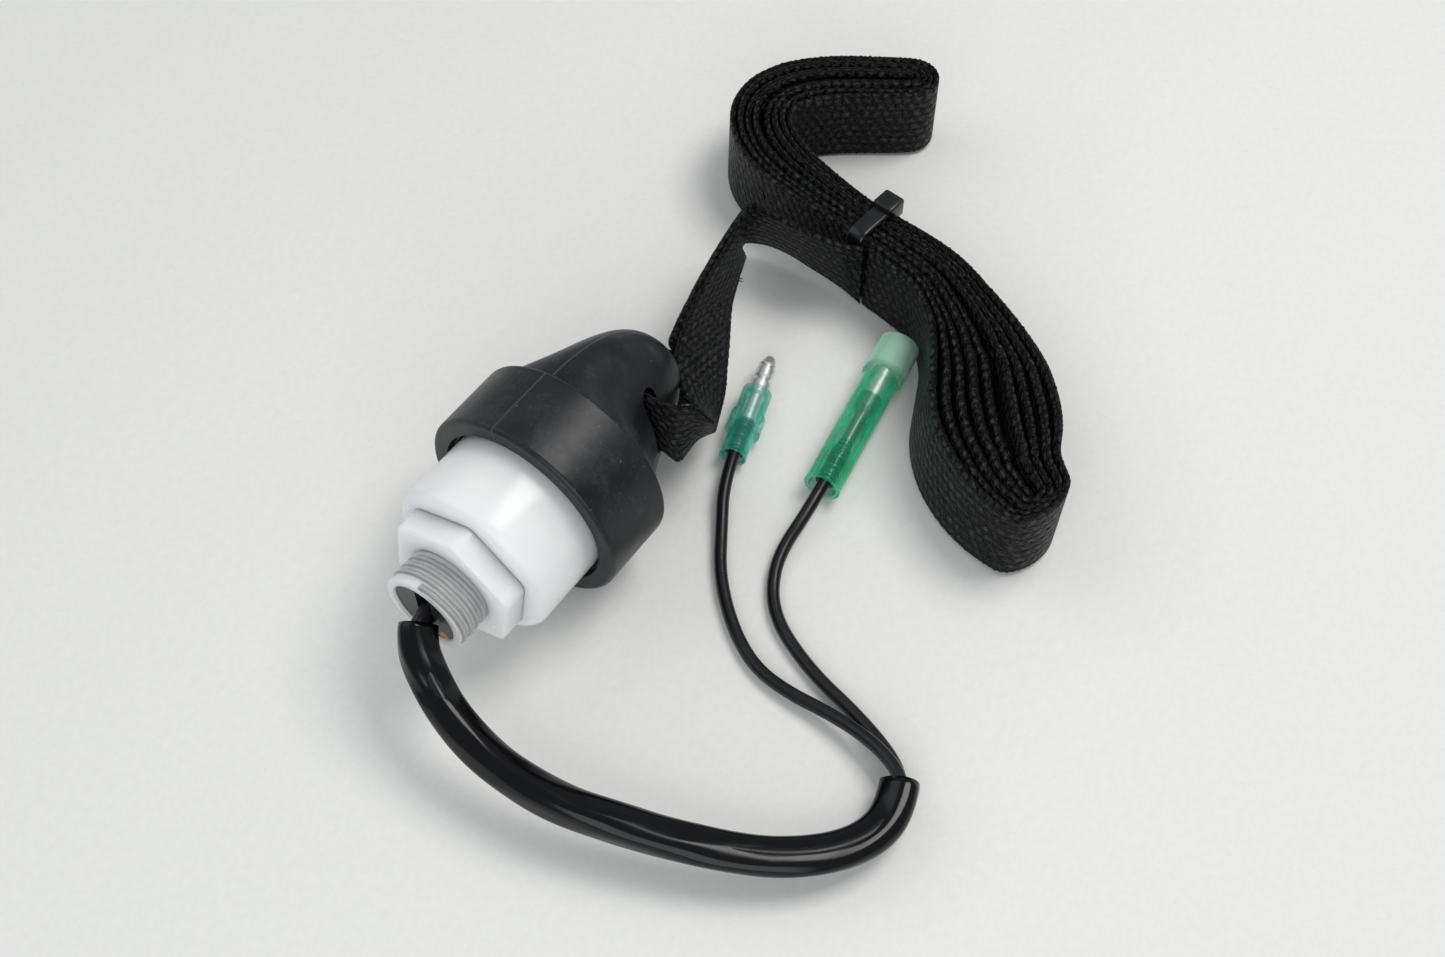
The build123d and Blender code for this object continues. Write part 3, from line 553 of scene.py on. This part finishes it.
def crimped(name, start, aim, crimp, bright):
    """Bright tinned brass, with painted shade: dark rings painted over the crimp where it grips the wire,
    and the metal short of the bright end painted dark, as it looks in the sleeve's shade.
    """
    made, shader, tree = finish(name, {"Metallic": 0.75, "Roughness": 0.34})
    spot = node(tree, "ShaderNodeTexCoord").outputs["Object"]
    cloud = cloudy(tree, spot, 500.0, (0.62, 0.62, 0.61, 1.0), (0.86, 0.86, 0.85, 1.0))
    along = along_axis(tree, start, aim)
    ring = maths(tree, "SINE", maths(tree, "MULTIPLY", along, 2 * math.pi / CRIMP_PITCH))
    after_first = mapped(tree, along, crimp[0], crimp[0] + 0.3)
    before_last = mapped(tree, along, crimp[1], crimp[1] + 0.3, 1.0, 0.0)
    inside = maths(tree, "MULTIPLY", after_first, before_last)
    # Painted shade: over the crimp the metal is painted near black, in rings.
    dark = maths(tree, "MULTIPLY", mapped(tree, ring, -0.6, 0.6, 0.55, 1.0), inside)
    beyond = mapped(tree, along, bright, bright + 0.4)
    # Painted shade: short of the bright end the metal is painted a dark greenish grey, as it looks in the
    # sleeve's shade.
    metal = mixed(tree, beyond, (0.16, 0.19, 0.18, 1.0), cloud.outputs["Color"])
    tree.links.new(mixed(tree, dark, metal, (0.025, 0.03, 0.03, 1.0)), shader.inputs["Base Color"])
    bump(tree, shader, maths(tree, "MULTIPLY", ring, inside), 0.6, 0.0003)
    return made


dress("pin_sleeve", vinyl("pale green vinyl", PIN_START, PIN_AIM, PALE_GREENS, NO_COLLAR, PIN_CLEARNESS))
dress("socket_sleeve",
      vinyl("green vinyl", SOCKET_START, SOCKET_AIM, DEEP_GREENS, SOCKET_COLLAR_START, SOCKET_CLEARNESS))
dress("pin_terminal", crimped("crimped pin", PIN_START, PIN_AIM, PIN_CRIMP, PIN_HEAD_START))
dress("socket_terminal",
      crimped("crimped socket", SOCKET_START, SOCKET_AIM, SOCKET_CRIMP, SOCKET_BARREL_START))

# The lanyard is one length of woven black strap, 16 mm wide. Most of it is folded to and fro on edge, as it
# was packed, and the end inside the tie goes on to the cap.
STRAP_WIDTH = 16.0
STRAP_THICKNESS = 1.0
STITCH_LENGTH = 2.0
STITCH_ROWS = 9
STITCH_SLANT = 0.35
SELVEDGE_WAVE = 0.27
SELVEDGE_SHARE = 0.45
TUFT_LENGTH, TUFT_ROOT, TUFT_TIP = 2.6, 0.28, 0.06
HANK_PITCH = 1.35
HANK_TURNS = 4
HANK_STEPS = 24
HANK_REACH = 0.6
HANK_LIFT = 0.3
HANK_UNEVEN = 0.4
HANK_LEAN = 2.2
HANK_SWELL = 1.4
HANK_SPREAD_START, HANK_SPREAD_RANGE = 1.05, 0.6
TIE_STATION = 0.52
LAST_TURN_STATION = 0.535
HANK_SPINE = [
    (127.8, 2.8, 0.95), (124.0, 8.6, 1.0), (118.4, 16.8, 1.05), (111.8, 22.8, 1.1), (104.6, 24.0, 1.15),
    (97.4, 19.6, 1.15), (92.8, 9.8, 1.05), (90.6, 0.0, 0.9), (89.3, -8.0, 0.77), (88.7, -14.0, 0.77),
    (88.0, -20.0, 0.83), (86.4, -28.3, 0.9), (80.6, -37.6, 1.16), (72.3, -45.1, 1.65), (64.2, -51.3, 1.9),
    (57.8, -57.0, 1.7), (54.2, -62.2, 1.4), (52.8, -67.0, 1.2)]


def spine_stations():
    """Evenly spaced places along a smooth line through the spine's points: centre, side way and spread."""
    curve = bpy.data.curves.new("spine", "CURVE")
    curve.dimensions = "3D"
    curve.resolution_u = 20
    spline = curve.splines.new("BEZIER")
    spline.bezier_points.add(len(HANK_SPINE) - 1)
    for control, point in zip(spline.bezier_points, HANK_SPINE):
        control.co = point
        control.handle_left_type = control.handle_right_type = "AUTO"
    helper = bpy.data.objects.new("spine", curve)
    mesh = bpy.data.meshes.new_from_object(helper)
    line = [vertex.co.copy() for vertex in mesh.vertices]
    bpy.data.objects.remove(helper)
    bpy.data.meshes.remove(mesh)
    along = distances(line)
    stations = []
    for step in range(HANK_STEPS + 1):
        wanted = along[-1] * step / HANK_STEPS
        index = min(sum(1 for value in along if value < wanted), len(line) - 2)
        way = line[index + 1] - line[max(index - 1, 0)]
        stations.append((line[index], Vector((way.y, -way.x, 0)).normalized()))
    return stations


def beside(station, turn):
    """A point beside the spine, that many turns out."""
    centre, side = station
    lift = HANK_LIFT + HANK_UNEVEN * (1 + math.sin(2.4 * turn + 0.05 * centre.y))
    return Vector((centre.x, centre.y, lift)) + side * (turn * HANK_PITCH * centre.z)


def fold(station, start, end, reach):
    """The points of a fold round one end of the spine, from one turn to another."""
    first, last = beside(station, start), beside(station, end)
    middle, arm = (first + last) / 2, (first - last) / 2
    arm.z = 0.0
    out = Vector((arm.y, -arm.x, 0)) * reach
    angles = [math.radians(30 * step) for step in range(1, 6)]
    return [middle + arm * math.cos(angle) + out * math.sin(angle) for angle in angles]


def strap_section():
    """The strap's rounded section, all the way round: place across and place through, in millimetres."""
    half_width, half = STRAP_WIDTH / 2, STRAP_THICKNESS / 2
    faces = [half_width - half - step * (STRAP_WIDTH - 2 * half) / 5 for step in range(6)]
    section = [(across, half) for across in faces]
    for angle in (math.radians(45), math.radians(90), math.radians(135)):
        section.append((-half_width + half - half * math.sin(angle), half * math.cos(angle)))
    section += [(-across, -through) for across, through in section]
    return section


def strap(name, low_edge, high_edge, swell=None, tufts=()):
    """A woven strap between two edges, with wavy selvedges, frayed tufts and a UV map in millimetres."""
    section = strap_section()
    middle = [(low + high) / 2 for low, high in zip(low_edge, high_edge)]
    along = distances(middle)
    shape, spots = grid_tube(len(middle), len(section))
    uv = shape.loops.layers.uv.new("weave")
    around = [0.0]
    for index in range(len(section)):
        here, after = Vector(section[index]), Vector(section[(index + 1) % len(section)])
        around.append(around[-1] + (after - here).length)
    for loop_face in shape.faces:
        for loop in loop_face.loops:
            row, step = spots[loop.vert]
            loop[uv].uv = (along[row] / MM, around[step])
    frames = []
    for row in range(len(middle)):
        across = high_edge[row] - low_edge[row]
        ahead = middle[min(row + 1, len(middle) - 1)] - middle[max(row - 1, 0)]
        frames.append((across, across.cross(ahead).normalized()))
    for vertex, (row, step) in spots.items():
        across, out = frames[row]
        place_across, through = section[step % len(section)]
        share = place_across / STRAP_WIDTH
        if abs(share) > SELVEDGE_SHARE:
            wave = SELVEDGE_WAVE * (2 * abs(math.sin(math.pi * along[row] / MM / STITCH_LENGTH)) - 1.3)
            share += math.copysign(wave / STRAP_WIDTH, share)
        vertex.co = middle[row] + across * share + out * (through * (swell[row] if swell else 1.0) * MM)
    bmesh.ops.remove_doubles(shape, verts=shape.verts, dist=0.00001)
    bmesh.ops.holes_fill(shape, edges=[edge for edge in shape.edges if edge.is_boundary], sides=0)
    for root, way in tufts:
        turn = Vector(way).to_track_quat("Z", "Y").to_matrix().to_4x4()
        bmesh.ops.create_cone(shape, segments=5, radius1=TUFT_ROOT * MM, radius2=TUFT_TIP * MM,
                              depth=TUFT_LENGTH * MM, cap_ends=True,
                              matrix=Matrix.Translation(place(*root)) @ turn)
    return mesh_piece(name, shape)


stations = spine_stations()
hank_route = []
for turn in range(HANK_TURNS):
    hank_route += [beside(station, turn + 0.5) for station in reversed(stations)]
    hank_route += fold(stations[0], turn + 0.5, -turn - 1, 1)
    hank_route += [beside(station, -turn - 1) for station in stations]
    hank_route += fold(stations[-1], -turn - 1, turn + 1.5, HANK_REACH)
last_stations = [station for step, station in enumerate(stations) if step / HANK_STEPS > LAST_TURN_STATION]
hank_route += [beside(station, HANK_TURNS + 0.5) for station in reversed(last_stations)]
hank_low = route_points([tuple(point) for point in hank_route], 13)
hank_high, hank_swell = [], []
for point in hank_low:
    weights = [((point - place(centre.x, centre.y, 0)).length + 0.002) ** -4 for centre, side in stations]
    spread = sum(weight * centre.z for weight, (centre, side) in zip(weights, stations)) / sum(weights)
    side = sum((side * weight for weight, (centre, side) in zip(weights, stations)), Vector()).normalized()
    open_share = min(max((spread - HANK_SPREAD_START) / HANK_SPREAD_RANGE, 0.0), 1.0)
    hank_high.append(point + Vector((0, 0, STRAP_WIDTH * MM)) - side * (HANK_LEAN * open_share * MM))
    hank_swell.append(1 + (HANK_SWELL - 1) * open_share)
hank = strap("folded_strap", hank_low, hank_high, hank_swell)

# The woven group gives each stitch its height for the bump. Its second output is mostly painted light:
# stitch crowns painted bright as a painted highlight and the gaps painted black as painted shade, with a
# random fibre tone over it.
weave, given, made = shader_group(
    "woven", [("UV", "NodeSocketVector", (0, 0, 0)), ("Length", "NodeSocketFloat", STITCH_LENGTH),
              ("Width", "NodeSocketFloat", STRAP_WIDTH / STITCH_ROWS)],
    [("Height", "NodeSocketFloat"), ("Fibre Tone And Painted Light", "NodeSocketFloat")])
parts = node(weave, "ShaderNodeSeparateXYZ", {0: given.outputs["UV"]})
wobble = mapped(weave, noise(weave, given.outputs["UV"], 0.9), 0.3, 0.7, -0.2, 0.2)
row_place = maths(weave, "ADD", maths(weave, "DIVIDE", parts.outputs[1], given.outputs["Width"]), wobble)
odd = maths(weave, "MULTIPLY", maths(weave, "MODULO", maths(weave, "FLOOR", row_place), 2.0), 0.5)
column = maths(weave, "ADD", maths(weave, "DIVIDE", parts.outputs[0], given.outputs["Length"]), odd)
slant = maths(weave, "MULTIPLY", maths(weave, "FRACT", row_place), STITCH_SLANT)
column = maths(weave, "ADD", column, maths(weave, "ADD", wobble, slant))
across_wave = maths(weave, "ABSOLUTE", maths(weave, "SINE", maths(weave, "MULTIPLY", row_place, math.pi)))
across_wave = maths(weave, "POWER", across_wave, 0.9)
along_wave = maths(weave, "ABSOLUTE", maths(weave, "SINE", maths(weave, "MULTIPLY", column, math.pi)))
along_wave = maths(weave, "POWER", along_wave, 1.2)
stitch = maths(weave, "MULTIPLY", across_wave, along_wave)
weave.links.new(stitch, made.inputs["Height"])
squeezed = node(weave, "ShaderNodeMapping", {"Vector": given.outputs["UV"], "Scale": (0.7, 0.8, 1.0)})
fibre = noise(weave, squeezed.outputs[0], 1.0, 4.0, 0.7)
shade = maths(weave, "MULTIPLY", stitch, mapped(weave, fibre, 0.4, 0.66, 0.04, 1.0))
weave.links.new(shade, made.inputs["Fibre Tone And Painted Light"])
strap_finish, shader, tree = finish("woven black strap", {"Roughness": 0.4, "Specular IOR Level": 0.13})
uv_map = node(tree, "ShaderNodeUVMap", uv_map="weave").outputs[0]
woven = node(tree, "ShaderNodeGroup", {"UV": uv_map}, node_tree=weave)
# Painted highlight and painted shade: the strap's colour runs from near black in the gaps to grey on the
# stitch crowns.
strap_colour = mixed(tree, woven.outputs["Fibre Tone And Painted Light"], (0.0003, 0.0003, 0.0004, 1.0), (0.06, 0.06, 0.064, 1.0))
tree.links.new(strap_colour, shader.inputs["Base Color"])
bump(tree, shader, woven.outputs["Height"], 1.0, 0.0006)
show(hank, "cap", strap_finish)
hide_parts("lanyard_hank")

# The strap's end goes from the hank to the cap, through the slot in its ear, and back along itself to the
# place where it is sewn down. Each row has the strap's middle, the way across it and its share of the width.
LEAD = [
    ((83.3, -13.9, 8.6), (-0.04, 0.0, 1.0), 1.0), ((82.6, -12.4, 9.4), (-0.12, -0.03, 0.99), 1.0),
    ((81.6, -10.8, 10.6), (-0.2, -0.04, 0.98), 1.0), ((80.9, -7.2, 11.5), (-0.27, -0.06, 0.96), 1.0),
    ((80.5, -3.2, 12.0), (-0.31, -0.1, 0.95), 1.0), ((80.7, 0.6, 12.2), (-0.32, -0.16, 0.93), 1.0),
    ((80.5, 5.2, 12.2), (-0.3, -0.2, 0.93), 1.0), ((79.8, 8.8, 12.1), (-0.22, -0.18, 0.96), 1.0),
    ((79.6, 9.1, 12.1), (-0.21, -0.18, 0.96), 1.0), ((77.8, 9.6, 12.5), (-0.26, -0.21, 0.94), 1.0),
    ((72.4, 8.1, 13.3), (-0.45, -0.16, 0.88), 1.0), ((65.7, 6.1, 14.1), (-0.57, -0.09, 0.81), 1.0),
    ((56.1, 2.8, 15.2), (-0.73, 0.01, 0.68), 1.0), ((51.2, 0.9, 13.6), (-0.72, 0.14, 0.68), 1.0),
    ((46.8, -0.9, 11.7), (-0.52, 0.28, 0.81), 1.0), ((44.6, -1.8, 9.1), (-0.24, 0.22, 0.94), 1.0),
    ((42.4, 1.4, 8.9), (-0.08, 0.2, 0.98), 1.0), ((38.8, 6.6, 10.4), (0.0, 0.216, 0.976), 1.0),
    ((33.2, 9.4, 12.3), (0.0, 0.216, 0.976), 1.0), ((29.4, 10.2, 13.2), (0.0, 0.216, 0.976), 0.94),
    ((26.8, 9.3, 15.2), (0.0, 0.216, 0.976), 0.86), ((26.0, 6.6, 17.5), (0.0, 0.216, 0.976), 0.78),
    ((26.0, 0.0, 19.0), (0.0, 0.216, 0.976), 0.76), ((26.0, -6.6, 20.5), (0.0, 0.216, 0.976), 0.78),
    ((26.0, -9.0, 20.2), (0.0, 0.216, 0.976), 0.88), ((27.4, -10.9, 17.4), (-0.03, 0.08, 0.99), 1.0),
    ((29.6, -11.6, 16.9), (-0.1, -0.06, 0.99), 1.0), ((32.4, -12.0, 16.4), (-0.22, -0.18, 0.96), 1.0),
    ((35.0, -13.6, 13.6), (-0.42, -0.3, 0.86), 1.0), ((35.4, -13.6, 13.5), (-0.43, -0.28, 0.86), 1.0),
    ((37.2, -11.0, 13.2), (-0.55, -0.1, 0.83), 1.0), ((40.4, -8.0, 13.1), (-0.72, 0.06, 0.7), 1.0),
    ((45.0, -3.9, 13.3), (-0.73, 0.2, 0.65), 1.0), ((50.8, -0.9, 14.6), (-0.76, 0.12, 0.63), 1.0),
    ((56.0, 1.5, 15.2), (-0.73, 0.01, 0.68), 1.0), ((65.7, 4.8, 14.1), (-0.57, -0.09, 0.81), 1.0),
    ((72.6, 6.8, 13.3), (-0.45, -0.16, 0.88), 1.0)]
LEAD_TUFTS = [
    ((76.4, 9.2, 6.3), (0.8, -0.3, -0.3)), ((75.8, 9.0, 6.0), (0.9, 0.1, -0.5)),
    ((69.6, 5.4, 7.4), (0.5, -0.9, -0.2)), ((70.2, 5.6, 7.2), (0.8, -0.5, -0.5)),
    ((81.4, 7.6, 19.8), (0.1, 0.3, 0.9)), ((57.2, -0.6, 9.7), (0.6, -0.8, 0.1))]
edges = []
for side in (-0.5, 0.5):
    line = [Vector(middle) + Vector(across).normalized() * (side * share * STRAP_WIDTH)
            for middle, across, share in LEAD]
    edges.append(route_points([tuple(point) for point in line], 10))
lead = strap("strap_end", *edges, tufts=LEAD_TUFTS)
show(lead, "cap", strap_finish)
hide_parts("lanyard_lead")

# A small black nylon tie holds the turns of the hank together: a band with rounded edges and the block head
# that grips it. Its tail is cut off flush.
TIE_WIDTH = 3.6
TIE_THICKNESS = 1.1
TIE_HEAD = (4.4, 4.0, 4.4)
TIE_BAND_LOW = 0.6
TIE_BAND_HIGH = 17.6
TIE_CORNER = 1.6
TIE_PLAY = 0.2
TIE_HEAD_SHIFT = 0.4
TIE_HEAD_EDGE = 0.5


def tie_matrix():
    """The tie's place on the hank: x across the turns, y up."""
    whole, part = divmod(TIE_STATION * HANK_STEPS, 1)
    before, after = stations[int(whole)], stations[int(whole) + 1]
    centre = before[0].lerp(after[0], part)
    side = before[1].lerp(after[1], part).normalized()
    up = Vector((0, 0, 1))
    origin = place(centre.x, centre.y, 0)
    columns = Matrix((side * MM, up * MM, side.cross(up) * MM)).transposed().to_4x4()
    return Matrix.Translation(origin) @ columns, centre.z * HANK_PITCH


def rounded_box(shape, size, middle, radius):
    """Adds a block with rounded edges."""
    made = bmesh.ops.create_cube(shape, size=1.0)["verts"]
    bmesh.ops.transform(shape, matrix=Matrix.Translation(middle) @ Matrix.Diagonal((*size, 1.0)), verts=made)
    edges = list({edge for vertex in made for edge in vertex.link_edges})
    bmesh.ops.bevel(shape, geom=edges, offset=radius, offset_type="OFFSET", affect="EDGES", segments=3,
                    profile=0.5, material=-1)


tie_place, tie_pitch = tie_matrix()
left = -(HANK_TURNS * tie_pitch + STRAP_THICKNESS / 2 + TIE_THICKNESS / 2 + TIE_PLAY)
right = (HANK_TURNS - 0.5) * tie_pitch + STRAP_THICKNESS / 2 + TIE_THICKNESS / 2 + TIE_PLAY
band_curve = bpy.data.curves.new("band", "CURVE")
band_curve.dimensions = "2D"
band_curve.fill_mode = "NONE"
band_curve.extrude = (TIE_WIDTH - TIE_THICKNESS) / 2
band_curve.bevel_depth = TIE_THICKNESS / 2
band_curve.bevel_resolution = 3
corners = [(left, TIE_BAND_LOW, 180), (right, TIE_BAND_LOW, 270), (right, TIE_BAND_HIGH, 0),
           (left, TIE_BAND_HIGH, 90)]
loop = []
for x, y, start in corners:
    inward = Vector((math.copysign(TIE_CORNER, -x), TIE_CORNER if y == TIE_BAND_LOW else -TIE_CORNER))
    for step in range(7):
        turn = math.radians(start + 15 * step)
        loop.append((x + inward.x + TIE_CORNER * math.cos(turn), y + inward.y + TIE_CORNER * math.sin(turn)))
spline = band_curve.splines.new("POLY")
spline.points.add(len(loop) - 1)
for control, point in zip(spline.points, loop):
    control.co = (*point, 0.0, 1.0)
spline.use_cyclic_u = True
helper = bpy.data.objects.new("band", band_curve)
mesh = bpy.data.meshes.new_from_object(helper)
shape = bmesh.new()
shape.from_mesh(mesh)
bpy.data.objects.remove(helper)
bpy.data.meshes.remove(mesh)
bmesh.ops.remove_doubles(shape, verts=shape.verts, dist=0.001)
head_place = (left + TIE_HEAD_SHIFT, TIE_BAND_HIGH - TIE_HEAD_SHIFT, 0.0)
rounded_box(shape, TIE_HEAD, head_place, TIE_HEAD_EDGE)
bmesh.ops.transform(shape, matrix=tie_place, verts=shape.verts)
tie = mesh_piece("tie", shape)
softener = tie.modifiers.new("sharp_edges", "EDGE_SPLIT")
softener.split_angle = math.radians(40)
tie_finish, shader, tree = finish("tie nylon", {
    "Base Color": (0.006, 0.006, 0.007, 1.0), "Roughness": 0.25, "Specular IOR Level": 0.45})
spot = node(tree, "ShaderNodeTexCoord").outputs["Object"]
tree.links.new(mapped(tree, noise(tree, spot, 300.0), 0.3, 0.7, 0.18, 0.34), shader.inputs["Roughness"])
show(tie, "cap", tie_finish)
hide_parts("cable_tie")
